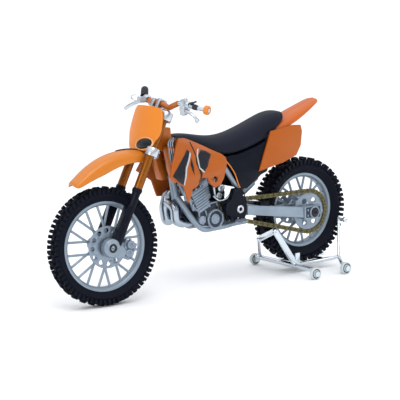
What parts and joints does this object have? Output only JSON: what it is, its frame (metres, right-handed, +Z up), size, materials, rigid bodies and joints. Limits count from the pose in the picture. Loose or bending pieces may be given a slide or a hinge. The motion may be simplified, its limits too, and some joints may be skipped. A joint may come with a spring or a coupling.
{
  "type": "toy motocross bike on a paddock stand",
  "caption": "Toy motocross bike of about one twelfth size, its rear wheel held in a wheeled stand; bars steer, wheels and stand rollers turn.",
  "frame": {"origin": "middle of the overall length and width, on the floor that the front tyre and the stand's rollers stand on", "axes": "+X forward, +Y to the rider's left, +Z up; the handlebar and front wheel rest turned 5.7 degrees to the right"},
  "size_m": [0.18, 0.0694, 0.1001],
  "materials": {
    "orange_plastic": "glossy moulded plastic",
    "orange_metal": "glossy paint",
    "amber_tube": "anodised look paint",
    "black_plastic": "satin moulded plastic",
    "silver_paint": "metallic silver paint",
    "bright_metal": "bare bright metal",
    "chrome": "chrome plating",
    "chain_brass": "dull bronze",
    "tyre_rubber": "matt rubber",
    "roller_plastic": "pale moulded plastic"
  },
  "bodies": {
    "chassis": {"frame_neck": "orange_metal", "frame_cradle": "silver_paint", "frame_uprights": "silver_paint", "pivot_plates": "black_plastic", "engine_cases": "silver_paint", "cylinder_head": "silver_paint", "carburettor": "silver_paint", "exhaust_pipe": "silver_paint", "muffler": "silver_paint", "radiators": "silver_paint", "shroud_left": "orange_plastic", "shroud_right": "orange_plastic", "fuel_tank": "orange_plastic", "seat": "black_plastic", "airbox": "black_plastic", "side_plate_left": "orange_plastic", "side_plate_right": "orange_plastic", "rear_fender": "orange_plastic", "subframe": "silver_paint", "swingarm": "silver_paint", "rear_axle": "bright_metal", "chain_slider": "black_plastic", "drive_chain": "chain_brass", "drive_sprocket": "silver_paint", "shock_absorber": "silver_paint", "footpegs": "silver_paint", "rear_caliper": "silver_paint", "control_cables": "black_plastic", "stand_base": "chrome", "stand_hoop": "chrome"},
    "steering_assembly": {"lower_clamp": "bright_metal", "upper_clamp": "bright_metal", "fork_tube_left": "amber_tube", "fork_tube_right": "amber_tube", "fork_leg_left": "black_plastic", "fork_leg_right": "black_plastic", "front_axle": "bright_metal", "front_caliper": "silver_paint", "handlebar": "orange_metal", "left_bar_knob": "orange_plastic", "right_grip": "black_plastic", "bar_clamps": "bright_metal", "clutch_lever": "bright_metal", "brake_lever": "bright_metal", "front_fender": "orange_plastic", "number_plate": "orange_plastic"},
    "front_wheel": {"front_tyre": "tyre_rubber", "front_rim": "silver_paint", "front_disc": "silver_paint"},
    "rear_wheel": {"rear_tyre": "tyre_rubber", "rear_rim": "silver_paint", "rear_disc": "silver_paint", "rear_sprocket": "silver_paint"},
    "roller_front_left_body": {"roller_front_left": "roller_plastic"},
    "roller_front_right_body": {"roller_front_right": "roller_plastic"},
    "roller_rear_left_body": {"roller_rear_left": "roller_plastic"},
    "roller_rear_right_body": {"roller_rear_right": "roller_plastic"}
  },
  "joints": [
    {"name": "steering", "type": "hinge", "parent": "chassis", "child": "steering_assembly", "pos_m": [0.03486, 0, 0.07189], "axis": [-0.4462, 0, 0.8949], "range_deg": [-29.3, 40.7]},
    {"name": "front_wheel_spin", "type": "hinge", "parent": "steering_assembly", "child": "front_wheel", "pos_m": [0.061, -0.00043, 0.02905], "axis": [0.0889, 0.9951, 0.0443], "continuous": true},
    {"name": "rear_wheel_spin", "type": "hinge", "parent": "chassis", "child": "rear_wheel", "pos_m": [-0.06238, 0, 0.0322], "axis": [0, 1, 0], "continuous": true},
    {"name": "roller_front_left_spin", "type": "hinge", "parent": "chassis", "child": "roller_front_left_body", "pos_m": [-0.05218, 0.0246, 0.0031], "axis": [0, 1, 0], "continuous": true},
    {"name": "roller_front_right_spin", "type": "hinge", "parent": "chassis", "child": "roller_front_right_body", "pos_m": [-0.05218, -0.0246, 0.0031], "axis": [0, 1, 0], "continuous": true},
    {"name": "roller_rear_left_spin", "type": "hinge", "parent": "chassis", "child": "roller_rear_left_body", "pos_m": [-0.07298, 0.0246, 0.0031], "axis": [0, 1, 0], "continuous": true},
    {"name": "roller_rear_right_spin", "type": "hinge", "parent": "chassis", "child": "roller_rear_right_body", "pos_m": [-0.07298, -0.0246, 0.0031], "axis": [0, 1, 0], "continuous": true}
  ]
}
